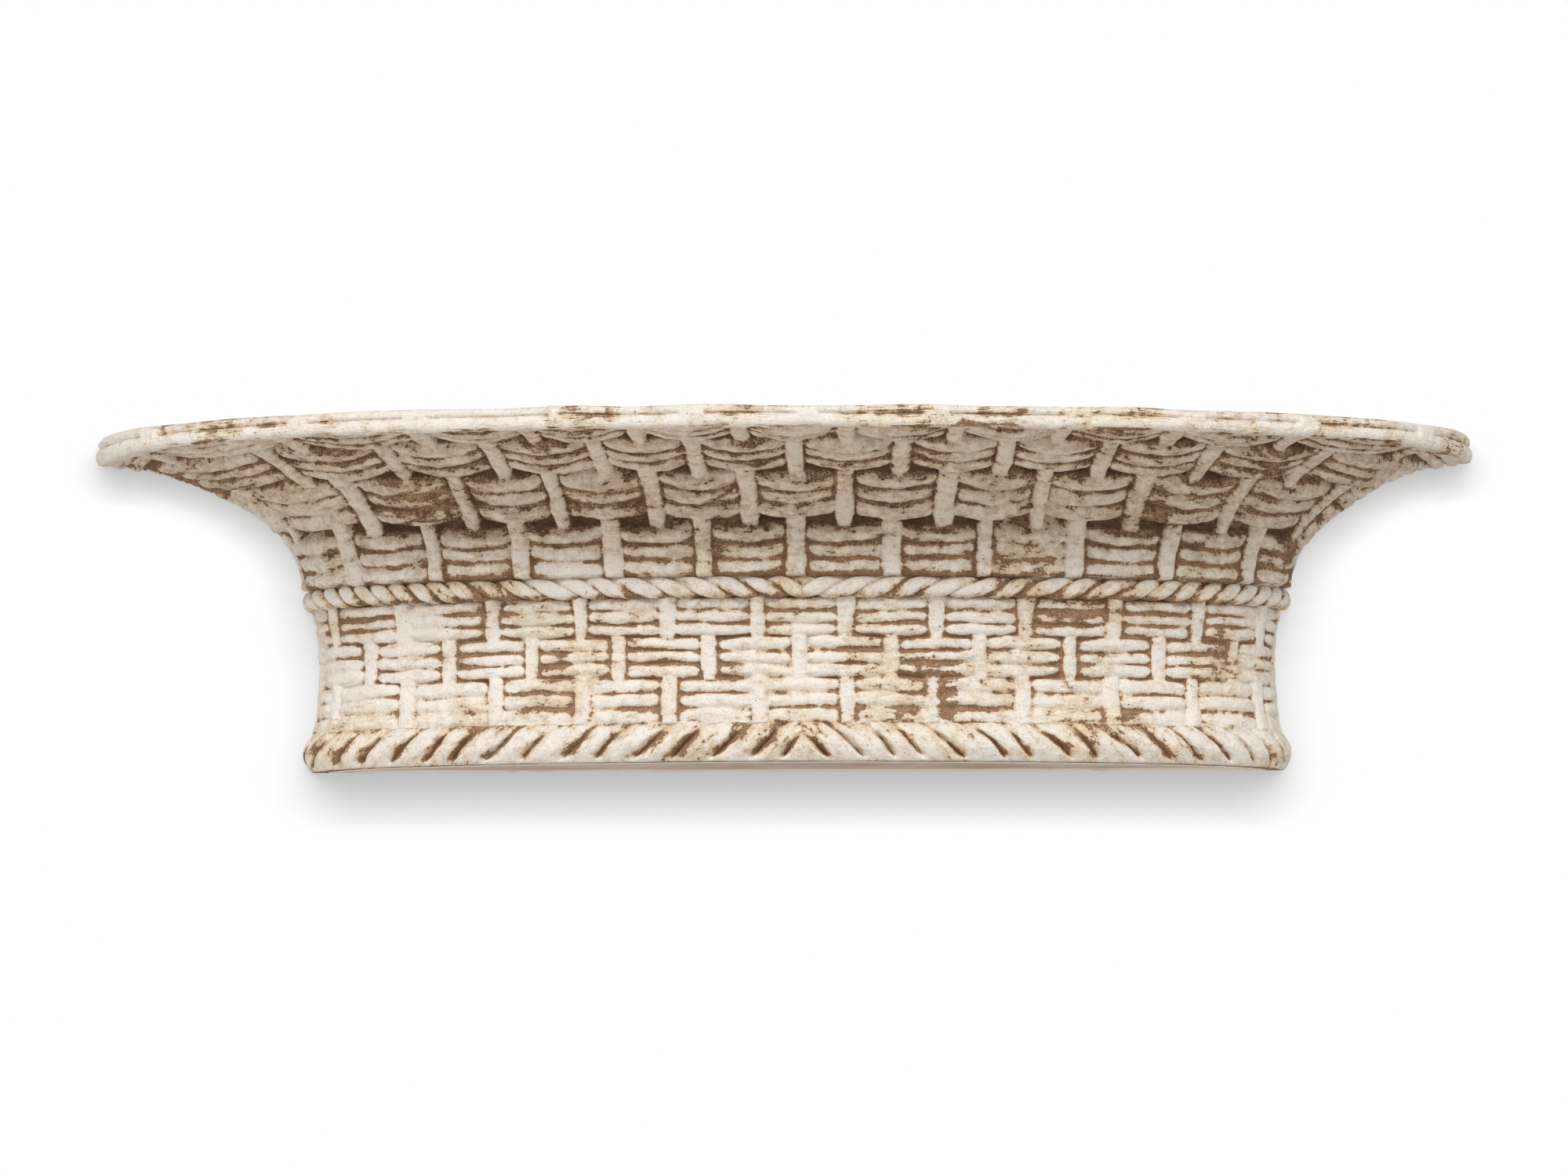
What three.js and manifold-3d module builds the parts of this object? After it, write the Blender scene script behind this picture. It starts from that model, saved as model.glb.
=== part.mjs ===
// Wall pocket vase: a shallow half-round basket cast in plaster, which hangs with its flat back on a wall.
// Lengths are in millimetres. X runs along the wall, Y into the wall and Z up. The wall is the plane y = 0.
// The origin lies on the wall plane, midway between the two hangers, at the height where the screws in
// the wall bear in the hangers' slots.
import * as THREE from "three";
import { mergeVertices } from "three/addons/utils/BufferGeometryUtils.js";
import Module from "manifold-3d";

const wasm = await Module();
wasm.setup();

// Overall sizes. The rim is measured over its bindings, and the belt over the rope at the flare's foot.
const rimHalfWidth = 240.5;
const rimDepth = 119.5;
const height = 116;
const beltHalfWidth = 172;
const beltDepth = 64.3;

// Air left between pieces that are luted, screwed or laid together.
const gap = 0.3;

// Woven wall. Insets are measured inwards from the outside of the belt rope. The flare reaches out
// farther on the left than on the right, and its sway is how far it is shifted at the rim.
const wallThickness = 9.6;
const waistInset = 6.4;
const fieldEdgeInset = 4;
const flareEdgeThickness = 4.5;
const flareEdgeInset = 1.5;
const flareLedge = 1;
const flareSway = 4;

// Ropes.
const beltRopeLevel = 59.3;
const beltRopeRadius = 3.4;
const baseRopeHeight = 13.2;
const baseRopeFootInset = 3.2;
const baseRopeHeadInset = 4.2;
const baseRopeBulge = 2.9;
const baseRopeSeatInset = 9;

// Rim: two rods laid one on the other round the edge and bound together at intervals.
const rimWidth = 13;
const rimStand = 4.1;
const lowerRodHeight = 3.8;
const upperRodHeight = 3;
const upperRodSetback = 0.8;
const rodGrooveDepth = 1.6;
const rimInnerRound = 1.8;
const bindingWidth = 9;
const bindingProud = 0.5;
const bindingRound = 1.5;

// Back and floor slabs.
const backThickness = 14;
const floorThickness = 10;

// Lift-out liner of sheet metal.
const linerClearance = 1.5;
const linerSheet = 0.8;
const linerDrop = 1.7;
const linerHemHeight = 2.4;
const linerHemOverhang = 0.9;

// Hangers: a keyhole plate in a hardwood block that is let into the back, held by two wood screws.
const hangerSpacing = 240;
const hangDrop = 28;
const plateWidth = 44;
const plateMargin = 4.3;
const plateThickness = 1.5;
const keyholeRadius = 5;
const slotHalfWidth = 2.4;
const slotTravel = 10;
const blockMargin = 5;
const blockDepth = 10;
const headroomHalfWidth = 6.5;
const headroomDepth = 6;
const screwSpacing = 32;
const screwHeadRadius = 3.2;
const screwHeadHeight = 1.2;
const screwShankRadius = 1.5;
const screwLength = 8;
const screwSlotWidth = 0.8;
const screwSlotDepth = 0.6;

// How far a cutting shape runs past what it cuts.
const overrun = 2;

// The middles of the rim's bindings, as shares of the way round the rim from its left end.
const bindingShares = [0.095, 0.207, 0.28, 0.366, 0.441, 0.507, 0.582, 0.666, 0.735, 0.811, 0.905];

// Steps round the plan, up the curves of the wall, round the ropes, rods, holes and screws.
const planSteps = 48;
const flareSteps = 9;
const fieldSteps = 4;
const ropeSides = 10;
const rodSteps = 4;
const holeSteps = 20;

// Sizes that follow from those above.
const flareOverhang = rimHalfWidth - beltHalfWidth;
const frontLeanShare = (rimDepth - beltDepth) / flareOverhang;
const rimFoot = height - lowerRodHeight - upperRodHeight;
const flareTop = rimFoot - flareEdgeThickness;
const flareFoot = beltRopeLevel + beltRopeRadius + flareLedge;
const wellInset = waistInset + wallThickness;
const innerTop = height - rimStand;
const hangLevel = height - hangDrop;
const linerTop = flareFoot - linerDrop;
const plateTop = slotHalfWidth + plateMargin;
const plateFoot = -slotTravel - keyholeRadius - plateMargin;
const plateMiddle = (plateTop + plateFoot) / 2;

const plaster = { color: 0xe6ddcc, roughness: 0.85, metalness: 0 };
const galvanised = { color: 0xa3a8aa, roughness: 0.5, metalness: 1 };
const steel = { color: 0x8b8d8f, roughness: 0.4, metalness: 1 };
const hardwood = { color: 0xa9835a, roughness: 0.7, metalness: 0 };

// A point of the plan. The belt's outline is half an ellipse, and `turn` is how far its normal has
// turned from the left wall end, half a turn in all. `out` moves the point along that normal. `lean`
// is the flare's overhang, which is less at the front than at the ends, and the sway grows with it.
function onPlan(turn, lean, out) {
  const c = Math.cos(turn);
  const s = Math.sin(turn);
  const w = Math.hypot(beltHalfWidth * c, beltDepth * s);
  const x = (beltHalfWidth ** 2 * c) / w + (lean + out) * c;
  const y = (beltDepth ** 2 * s) / w + (lean * frontLeanShare + out) * s;
  const sway = (flareSway * lean) / flareOverhang;
  return [-x - sway, -y];
}

// A closed surface from its points and triangles, with its faces turned outwards.
function closedSurface(points, triangles) {
  const volume = triangles.reduce((sum, [a, b, c]) => {
    const across = new THREE.Vector3().crossVectors(points[b], points[c]);
    return sum + points[a].dot(across);
  }, 0);
  const facing = volume > 0 ? triangles : triangles.map(([a, b, c]) => [a, c, b]);
  const geometry = new THREE.BufferGeometry().setFromPoints(points);
  geometry.setIndex(facing.flat());
  return geometry;
}

// Joins rings of points, each with as many points as the next, into a closed surface. The first and
// last rings are closed by `capTriangles`, which number the points of one ring.
function loft(rings, capTriangles) {
  const count = rings[0].length;
  const last = (rings.length - 1) * count;
  const triangles = [];
  for (let i = 0; i < rings.length - 1; i++) {
    for (let j = 0; j < count; j++) {
      const a = i * count + j;
      const b = i * count + ((j + 1) % count);
      triangles.push([a, b, b + count], [a, b + count, a + count]);
    }
  }
  for (const [a, b, c] of capTriangles) {
    triangles.push([a, c, b], [a + last, b + last, c + last]);
  }
  return closedSurface(rings.flat(), triangles);
}

// Carries sections round the plan. A station is { turn, section }, and a section is a closed outline
// of points { lean, out, z }, anticlockwise where `out` points right and z up.
function sweep(stations) {
  const rings = stations.map(({ turn, section }) =>
    section.map(({ lean, out, z }) => new THREE.Vector3(...onPlan(turn, lean, out), z)),
  );
  const outline = stations[0].section.map(({ lean, out, z }) => new THREE.Vector2(lean + out, z));
  return loft(rings, THREE.ShapeUtils.triangulateShape(outline, []));
}

// The same section at equal turns from one turn to another.
function evenStations(section, fromTurn, toTurn, steps) {
  return Array.from({ length: steps + 1 }, (_, i) => ({
    turn: fromTurn + ((toTurn - fromTurn) * i) / steps,
    section,
  }));
}

// Turns a closed geometry into a solid for cutting and joining.
function solidOf(geometry) {
  const bare = geometry.clone();
  bare.deleteAttribute("normal");
  bare.deleteAttribute("uv");
  const merged = mergeVertices(bare);
  const position = merged.getAttribute("position");
  const points = Array.from({ length: position.count }, (_, i) =>
    new THREE.Vector3().fromBufferAttribute(position, i),
  );
  const corners = merged.index.array;
  const triangles = Array.from({ length: corners.length / 3 }, (_, i) => [
    corners[3 * i],
    corners[3 * i + 1],
    corners[3 * i + 2],
  ]).filter(([a, b, c]) => a !== b && b !== c && c !== a);
  const surface = closedSurface(points, triangles);
  return new wasm.Manifold(
    new wasm.Mesh({
      numProp: 3,
      vertProperties: new Float32Array(surface.getAttribute("position").array),
      triVerts: new Uint32Array(surface.index.array),
    }),
  );
}

function geometryOf(solid) {
  const { numProp, vertProperties, triVerts } = solid.getMesh();
  const points = Array.from({ length: vertProperties.length / numProp }, (_, i) =>
    new THREE.Vector3().fromArray(vertProperties, i * numProp),
  );
  const geometry = new THREE.BufferGeometry().setFromPoints(points);
  geometry.setIndex(Array.from(triVerts));
  return geometry;
}

// A box between two corners.
function boxSolid([x0, y0, z0], [x1, y1, z1]) {
  const box = new THREE.BoxGeometry(x1 - x0, y1 - y0, z1 - z0);
  return solidOf(box.translate((x0 + x1) / 2, (y0 + y1) / 2, (z0 + z1) / 2));
}

// A round bar along Y, from y0 down to y1, whose radius may change between its ends.
function barSolid(x, z, y0, y1, radiusAtY0, radiusAtY1) {
  const bar = new THREE.CylinderGeometry(radiusAtY0, radiusAtY1, y0 - y1, holeSteps);
  return solidOf(bar.translate(x, (y0 + y1) / 2, z));
}

// The flare's outside, or its inside, from its foot to its top. Both are quarter ellipses that start
// upright at the foot and end level at the rim.
function flareCurve({ footInset, topInset, top }) {
  return Array.from({ length: flareSteps + 1 }, (_, i) => {
    const angle = (Math.PI / 2) * (i / flareSteps);
    const upright = Math.cos(angle);
    return {
      lean: flareOverhang * (1 - upright),
      out: -footInset * upright - topInset * (1 - upright),
      z: flareFoot + (top - flareFoot) * Math.sin(angle),
    };
  });
}

// The wall's inside, drawn in further by `clearance`.
function insideCurve(clearance) {
  return [
    { lean: 0, out: -wellInset - clearance, z: 0 },
    ...flareCurve({
      footInset: wellInset + clearance,
      topInset: rimWidth + gap + clearance,
      top: innerTop + clearance,
    }),
  ];
}

// The lower field's outside, drawn in at its waist, from the base rope to the belt rope.
function fieldCurve() {
  const from = baseRopeHeight + gap;
  const to = beltRopeLevel - beltRopeRadius - gap;
  return Array.from({ length: fieldSteps + 1 }, (_, i) => {
    const t = (2 * i) / fieldSteps - 1;
    return {
      lean: 0,
      out: -waistInset + (waistInset - fieldEdgeInset) * t ** 2,
      z: from + ((to - from) * (t + 1)) / 2,
    };
  });
}

// Points of a circle round the belt rope's axis, over a part of a full turn.
function beltCircle(radius, fromTurn, toTurn, steps) {
  return Array.from({ length: steps + 1 }, (_, i) => {
    const angle = fromTurn + ((toTurn - fromTurn) * i) / steps;
    return {
      lean: 0,
      out: -beltRopeRadius + radius * Math.cos(angle),
      z: beltRopeLevel + radius * Math.sin(angle),
    };
  });
}

// The wall's section: a seat for the base rope, the lower field, the belt rope's half-round seat,
// the flare, the shoulder that carries the rim, and the inside back down to the foot.
function wallSection() {
  const seat = -baseRopeSeatInset - gap;
  const beltSeat = beltCircle(beltRopeRadius + gap, 1.5 * Math.PI, 0.5 * Math.PI, ropeSides / 2);
  const shoulder = { lean: flareOverhang, z: rimFoot - gap };
  return [
    { lean: 0, out: seat, z: 0 },
    { lean: 0, out: seat, z: baseRopeHeight + gap },
    ...fieldCurve(),
    ...beltSeat.slice(1),
    ...flareCurve({ footInset: 0, topInset: flareEdgeInset, top: flareTop }),
    { ...shoulder, out: -flareEdgeInset },
    { ...shoulder, out: -rimWidth - gap },
    ...insideCurve(0).reverse(),
  ];
}

// The base rope's section: flat below and behind, bulging to the room.
function baseRopeSection() {
  const face = Array.from({ length: ropeSides + 1 }, (_, i) => {
    const t = i / ropeSides;
    const inset = baseRopeFootInset + (baseRopeHeadInset - baseRopeFootInset) * t;
    return { lean: 0, out: -inset + baseRopeBulge * Math.sin(Math.PI * t), z: baseRopeHeight * t };
  });
  const back = { lean: 0, out: -baseRopeSeatInset };
  return [{ ...back, z: 0 }, ...face, { ...back, z: baseRopeHeight }];
}

// The half-round nose of one of the rim's rods, from its lower side to its upper one.
function rodNose(foot, rodHeight, setback) {
  return Array.from({ length: rodSteps + 1 }, (_, i) => {
    const angle = Math.PI * (i / rodSteps - 1 / 2);
    return {
      out: -setback - (rodHeight / 2) * (1 - Math.cos(angle)),
      z: foot + (rodHeight / 2) * (1 + Math.sin(angle)),
    };
  });
}

// The rim's section. Between bindings it shows the two rods with a groove between them, and a
// binding covers them with one rounded face.
function rimSection(bound) {
  const lower = rodNose(rimFoot, lowerRodHeight, bindingProud);
  const upper = rodNose(rimFoot + lowerRodHeight, upperRodHeight, bindingProud + upperRodSetback);
  const groove = { out: -bindingProud - upperRodSetback - rodGrooveDepth, z: rimFoot + lowerRodHeight };
  const rods = [...lower.slice(0, -1), groove, ...upper.slice(1)];
  const halfHeight = (height - rimFoot) / 2;
  const binding = rods.map(({ z }) => {
    const t = (z - rimFoot) / halfHeight - 1;
    return { out: -bindingRound * t ** 4, z };
  });
  return [
    { out: -rimWidth, z: rimFoot },
    ...(bound ? binding : rods),
    { out: -rimWidth + rimInnerRound, z: height },
    { out: -rimWidth, z: height - rimInnerRound },
  ].map((point) => ({ lean: flareOverhang, ...point }));
}

// The turn at which the rim's outline has run a given length from its left end, and its whole length.
function rimRun() {
  const fineSteps = planSteps ** 2;
  const turns = Array.from({ length: fineSteps + 1 }, (_, i) => (Math.PI * i) / fineSteps);
  const places = turns.map((turn) => new THREE.Vector2(...onPlan(turn, flareOverhang, 0)));
  const run = [0];
  for (let i = 1; i <= fineSteps; i++) {
    run.push(run[i - 1] + places[i].distanceTo(places[i - 1]));
  }
  const turnAt = (length) => {
    const i = Math.min(Math.max(run.findIndex((past) => past >= length), 1), fineSteps);
    const share = (length - run[i - 1]) / (run[i] - run[i - 1]);
    return turns[i - 1] + (turns[i] - turns[i - 1]) * share;
  };
  return { turnAt, total: run[fineSteps] };
}

// The rim's stations: the plain section all round, and a raised one where each binding covers it.
function rimStations() {
  const { turnAt, total } = rimRun();
  const plain = rimSection(false);
  const raised = rimSection(true);
  const bindings = bindingShares.map((share) => ({
    from: total * share - bindingWidth / 2,
    to: total * share + bindingWidth / 2,
  }));
  const edges = bindings.flatMap(({ from, to }) => [
    { turn: turnAt(from - gap), section: plain },
    { turn: turnAt(from), section: raised },
    { turn: turnAt(to), section: raised },
    { turn: turnAt(to + gap), section: plain },
  ]);
  const free = evenStations(plain, 0, Math.PI, planSteps).filter(({ turn }) =>
    bindings.every(({ from, to }) => turn < turnAt(from - 2 * gap) || turn > turnAt(to + 2 * gap)),
  );
  return [...free, ...edges].sort((one, other) => one.turn - other.turn);
}

// One half of a rope that goes round the plan. The two halves butt at the middle of the front.
function ropeHalf(section, side) {
  const frontRadius = beltHalfWidth ** 2 / beltDepth;
  const butt = Math.PI / 2 - gap / 2 / frontRadius;
  const stations =
    side === "left"
      ? evenStations(section, 0, butt, planSteps / 2)
      : evenStations(section, Math.PI - butt, Math.PI, planSteps / 2);
  return sweep(stations);
}

// What the wall and rim hold between them in front of the wall plane, from the floor's underside to
// the rim's top, kept `clearance` away from them.
function insideSolid(clearance) {
  const curve = insideCurve(clearance);
  curve.push({ ...curve.at(-1), z: height });
  const rings = curve.map(({ lean, out, z }) =>
    evenStations(null, 0, Math.PI, planSteps).map(
      ({ turn }) => new THREE.Vector3(...onPlan(turn, lean, out), z),
    ),
  );
  const fan = Array.from({ length: planSteps - 1 }, (_, i) => [0, i + 1, i + 2]);
  return solidOf(loft(rings, fan));
}

// The slice of the inside that lies between two heights, in front of a plane behind it.
function insideSlice(clearance, behind, foot, top) {
  return insideSolid(clearance).intersect(
    boxSolid([-rimHalfWidth, -rimDepth, foot], [rimHalfWidth, -behind, top]),
  );
}

// A box in a hanger's own frame, whose X and Z start where the wall's screw bears. It is taken in
// or let out all round by `margin`.
function hangerBox(halfWidth, foot, top, y0, y1, margin) {
  return boxSolid(
    [-halfWidth - margin, y1, foot - margin],
    [halfWidth + margin, y0, top + margin],
  );
}

// The hardwood block's outline, let out by `margin`, between two depths.
function blockBox(y0, y1, margin) {
  const halfWidth = plateWidth / 2 + blockMargin;
  return hangerBox(halfWidth, plateFoot - blockMargin, plateTop + blockMargin, y0, y1, margin);
}

// The back slab, with a recess for each hanger's block.
function backSlab() {
  let slab = insideSolid(gap).intersect(
    boxSolid([-rimHalfWidth, -backThickness, 0], [rimHalfWidth, 0, height]),
  );
  for (const x of [-hangerSpacing / 2, hangerSpacing / 2]) {
    slab = slab.subtract(blockBox(overrun, -blockDepth - gap, gap).translate([x, 0, hangLevel]));
  }
  return slab;
}

function floorSlab() {
  return insideSlice(gap, backThickness + gap, 0, floorThickness);
}

// The liner: a tub that follows the wall, with its top edge folded into a hem.
function liner() {
  const foot = floorThickness + gap;
  const back = backThickness + linerClearance;
  const tub = insideSlice(linerClearance, back, foot, linerTop);
  const hem = insideSlice(
    linerClearance - linerHemOverhang,
    back - linerHemOverhang,
    linerTop - linerHemHeight,
    linerTop,
  );
  const hollow = insideSlice(
    linerClearance + linerSheet,
    back + linerSheet,
    foot + linerSheet,
    linerTop + overrun,
  );
  return tub.add(hem).subtract(hollow);
}

// The keyhole: the round hole below lets a screw's head in, and the slot above it holds the shank.
function keyhole() {
  const y0 = overrun;
  const y1 = -plateThickness - overrun;
  return barSolid(0, -slotTravel, y0, y1, keyholeRadius, keyholeRadius)
    .add(barSolid(0, 0, y0, y1, slotHalfWidth, slotHalfWidth))
    .add(boxSolid([-slotHalfWidth, y1, -slotTravel], [slotHalfWidth, y0, 0]));
}

function hangerPlate() {
  let plate = hangerBox(plateWidth / 2, plateFoot, plateTop, 0, -plateThickness, 0);
  plate = plate.subtract(keyhole());
  const holeRadius = screwShankRadius + gap;
  for (const x of [-screwSpacing / 2, screwSpacing / 2]) {
    const sink = barSolid(x, plateMiddle, 0, -screwHeadHeight, screwHeadRadius + gap, holeRadius);
    const hole = barSolid(x, plateMiddle, overrun, -plateThickness - overrun, holeRadius, holeRadius);
    plate = plate.subtract(sink).subtract(hole);
  }
  return plate;
}

// The block: a rebate for the plate, headroom behind the keyhole for the wall screw's head, and a
// hole for each wood screw. Its face is flush with the back slab's, and the plate lies a gap deeper.
function hangerBlock() {
  const rebate = -plateThickness - 2 * gap;
  const pilotRadius = screwShankRadius + gap;
  let block = blockBox(0, -blockDepth, 0)
    .subtract(hangerBox(plateWidth / 2, plateFoot, plateTop, overrun, rebate, gap))
    .subtract(
      hangerBox(
        headroomHalfWidth,
        -slotTravel - headroomHalfWidth,
        headroomHalfWidth,
        overrun,
        rebate - headroomDepth,
        0,
      ),
    );
  for (const x of [-screwSpacing / 2, screwSpacing / 2]) {
    const end = -screwLength - 2 * gap;
    block = block.subtract(barSolid(x, plateMiddle, overrun, end, pilotRadius, pilotRadius));
  }
  return block;
}

// A slotted countersunk wood screw, shown by its core, with its head at y = 0 and its tip inwards.
function woodScrew() {
  const profile = [
    new THREE.Vector2(0, -screwLength),
    new THREE.Vector2(screwShankRadius / 2, -screwLength),
    new THREE.Vector2(screwShankRadius, -screwLength + screwShankRadius),
    new THREE.Vector2(screwShankRadius, -screwHeadHeight),
    new THREE.Vector2(screwHeadRadius, 0),
    new THREE.Vector2(0, 0),
  ];
  const slot = boxSolid(
    [-screwHeadRadius - overrun, -screwSlotDepth, -screwSlotWidth / 2],
    [screwHeadRadius + overrun, overrun, screwSlotWidth / 2],
  );
  return solidOf(new THREE.LatheGeometry(profile, holeSteps)).subtract(slot);
}

function piece(name, geometry, look) {
  const mesh = new THREE.Mesh(geometry, new THREE.MeshStandardMaterial({ ...look, flatShading: true }));
  mesh.name = name;
  return mesh;
}

// The cast pieces stand with their underside at z = 0 of this group.
const casting = new THREE.Group();
casting.position.z = -hangLevel;
casting.add(
  piece("woven_wall", sweep(evenStations(wallSection(), 0, Math.PI, planSteps)), plaster),
  piece("back_slab", geometryOf(backSlab()), plaster),
  piece("floor_slab", geometryOf(floorSlab()), plaster),
  piece("bound_rim", sweep(rimStations()), plaster),
  piece("metal_liner", geometryOf(liner()), galvanised),
);
for (const side of ["left", "right"]) {
  const belt = beltCircle(beltRopeRadius, -0.5 * Math.PI, 1.5 * Math.PI, ropeSides).slice(1);
  casting.add(
    piece(`belt_rope_${side}`, ropeHalf(belt, side), plaster),
    piece(`base_rope_${side}`, ropeHalf(baseRopeSection(), side), plaster),
  );
}

const part = new THREE.Group();
part.add(casting);
for (const [side, direction] of [["left", -1], ["right", 1]]) {
  const hanger = new THREE.Group();
  hanger.position.x = (direction * hangerSpacing) / 2;
  const plate = piece(`hanger_plate_${side}`, geometryOf(hangerPlate()), steel);
  plate.position.y = -gap;
  hanger.add(plate, piece(`hanger_block_${side}`, geometryOf(hangerBlock()), hardwood));
  for (const [place, offset] of [["inner", -direction], ["outer", direction]]) {
    const screw = piece(`hanger_screw_${side}_${place}`, geometryOf(woodScrew()), steel);
    screw.position.set((offset * screwSpacing) / 2, -gap, plateMiddle);
    hanger.add(screw);
  }
  part.add(hanger);
}

export default part;
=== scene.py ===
import math

import bpy
import numpy as np
from mathutils import Matrix


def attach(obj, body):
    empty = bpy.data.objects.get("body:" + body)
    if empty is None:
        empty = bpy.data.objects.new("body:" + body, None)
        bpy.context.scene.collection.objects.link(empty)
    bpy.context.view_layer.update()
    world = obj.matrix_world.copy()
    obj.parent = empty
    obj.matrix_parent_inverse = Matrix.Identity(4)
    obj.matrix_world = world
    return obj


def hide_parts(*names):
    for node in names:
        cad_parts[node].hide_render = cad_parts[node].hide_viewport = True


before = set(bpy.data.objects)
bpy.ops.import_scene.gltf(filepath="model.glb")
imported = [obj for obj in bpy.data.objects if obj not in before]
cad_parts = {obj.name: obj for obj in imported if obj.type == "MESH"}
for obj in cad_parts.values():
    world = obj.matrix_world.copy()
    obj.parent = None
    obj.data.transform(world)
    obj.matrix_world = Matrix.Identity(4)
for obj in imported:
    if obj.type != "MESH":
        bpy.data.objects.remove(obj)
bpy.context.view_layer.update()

# Lengths are in millimetres until a mesh is made. z = 0 is the underside, which hangs HANG_LEVEL
# below the frame's origin.
METRES = 0.001
HANG_LEVEL = 88

# The plan: half an ellipse round the belt rope, and the flare's overhang beyond it.
BELT_HALF_WIDTH = 172
BELT_DEPTH = 64.3
RIM_HALF_WIDTH = 240.5
RIM_DEPTH = 119.5
OVERHANG = RIM_HALF_WIDTH - BELT_HALF_WIDTH
FRONT_LEAN_SHARE = (RIM_DEPTH - BELT_DEPTH) / OVERHANG
FLARE_SWAY = 4

# Levels of the wall, and how deep its surfaces lie inside the belt rope's outside.
HEIGHT = 116
RIM_FOOT = 109.2
FLARE_FOOT = 63.7
FLARE_TOP = 104.7
FLARE_EDGE_INSET = 1.5
FRONT_EDGE_RISE = 3.9
TIP_EDGE_RISE = 1.3
RIGHT_END_SAG = 2
TIP_ROUNDING = 2.2
INNER_TOP = 111.9
WELL_INSET = 16
RIM_WIDTH = 13
FIELD_FOOT = 13.5
FIELD_TOP = 55.6
WAIST_INSET = 6.4
FIELD_EDGE_INSET = 4
BELT_LEVEL = 59.3
BELT_RADIUS = 3.4
BASE_ROPE_HEIGHT = 13.2
BASE_ROPE_SEAT = 9

# The weave: stakes stand at equal steps round the belt, and each row shows every second one. The
# last ones that show are number STAKE_ENDS from the middle.
STAKES_PER_HALF = 12.28
STAKE_ENDS = 11
STRANDS = 3

# Grid lines of the modelled surfaces: along the wall, then up or round each of them.
STATIONS = 680
FLARE_LINES = 118
FIELD_LINES = 84
ROPE_STATIONS = 620
BELT_ROPE_SIDES = 36
BASE_ROPE_LINES = 34
RIM_STATIONS = 1100
RIM_LINES = 34

# Helpers on arrays


def ease(value, start, end):
    """0 before start, 1 after end, and the cubic 3t^2 - 2t^3 between them."""
    t = np.clip((value - start) / (end - start), 0, 1)
    return t * t * (3 - 2 * t)


def soft_max(a, b, blend):
    """The greater of two surfaces, with the corner between them rounded over the length blend."""
    return 0.5 * (a + b + np.sqrt((a - b) ** 2 + blend**2))


def dome(across):
    """Half an ellipse over a rod: 1 at its middle line, 0, and 0 from its edges, -1 and 1, on."""
    return np.sqrt(np.clip(1 - across**2, 0, 1))


def running_sum(steps, axis=0):
    """The sum of all steps before each place along an axis, from 0."""
    return np.cumsum(np.insert(steps, 0, 0, axis), axis)


def lattice(seed):
    """A square table of seeded random numbers from -1 to 1."""
    return np.random.default_rng(seed).random((256, 256)) * 2 - 1


def noise(x, y, seed):
    """Value noise: random numbers from -1 to 1 on a unit lattice, eased into each other."""
    table = lattice(seed)
    x, y = np.broadcast_arrays(x, y)
    ix, iy = np.floor(x).astype(int), np.floor(y).astype(int)
    tx, ty = ease(x - ix, 0, 1), ease(y - iy, 0, 1)
    a, b = table[ix % 256, iy % 256], table[(ix + 1) % 256, iy % 256]
    c, d = table[ix % 256, (iy + 1) % 256], table[(ix + 1) % 256, (iy + 1) % 256]
    return (a + (b - a) * tx) * (1 - ty) + (c + (d - c) * tx) * ty


def fractal(x, y, size, seed, octaves=3):
    """A sum of value noises, each of half the size and half the height of the last."""
    return sum(noise(x / size * 2**k, y / size * 2**k, seed + k) / 2**k for k in range(octaves))


def blurred(height, reach):
    """The mean of a height field over a square of grid lines, taken twice to soften its corners."""
    for axis in (0, 1, 0, 1):
        pad = [(reach, reach) if a == axis else (0, 0) for a in (0, 1)]
        wide = np.pad(height, pad, mode="edge")
        height = np.lib.stride_tricks.sliding_window_view(wide, 2 * reach + 1, axis).mean(-1)
    return height


# The plan, and lengths along it


def plan(turn, lean, out):
    """The belt is the half ellipse (A^2 cos t, B^2 sin t) / sqrt(A^2 cos^2 t + B^2 sin^2 t), where
    t is the turn of its normal. lean and out move a point along that normal, and lean counts for
    less at the front. The flare's sway shifts it to the left as it leans."""
    c, s = np.cos(turn), np.sin(turn)
    w = np.hypot(BELT_HALF_WIDTH * c, BELT_DEPTH * s)
    x = BELT_HALF_WIDTH**2 * c / w + (lean + out) * c
    y = BELT_DEPTH**2 * s / w + (lean * FRONT_LEAN_SHARE + out) * s
    return -x - FLARE_SWAY * lean / OVERHANG, -y


def points(turn, lean, out, z):
    """Points of the wall: the plan's x and y, with the level z."""
    x, y = plan(turn, lean, out)
    return np.stack(np.broadcast_arrays(x, y, z), -1)


TURNS = np.linspace(0, np.pi, 6001)


def run_along(lean):
    """The length of the outline at a lean, from its left end to each of TURNS."""
    x, y = plan(TURNS, lean, 0)
    return running_sum(np.hypot(np.diff(x), np.diff(y)))


BELT_RUN = run_along(0)
RIM_RUN = run_along(OVERHANG)


def stake_of(turn):
    """Which stake stands at a turn: 0 is the middle one, and they count up to the right."""
    return (np.interp(turn, TURNS, BELT_RUN) / BELT_RUN[-1] - 0.5) * 2 * STAKES_PER_HALF


def even_turns(count, share=1):
    """Turns at equal lengths along a share of the belt, from its left end."""
    return np.interp(np.linspace(0, BELT_RUN[-1] * share, count), BELT_RUN, TURNS)


def normals(p):
    """The outward unit normal of a grid of points: along the wall crossed with up the wall."""
    n = np.cross(np.gradient(p, axis=0), np.gradient(p, axis=1))
    return n / np.linalg.norm(n, axis=-1, keepdims=True)


def lengths(grid, axis):
    """How far each point of a grid lies from the first one along an axis, over those between."""
    return running_sum(np.linalg.norm(np.diff(grid, axis=axis), axis=-1), axis)


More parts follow.
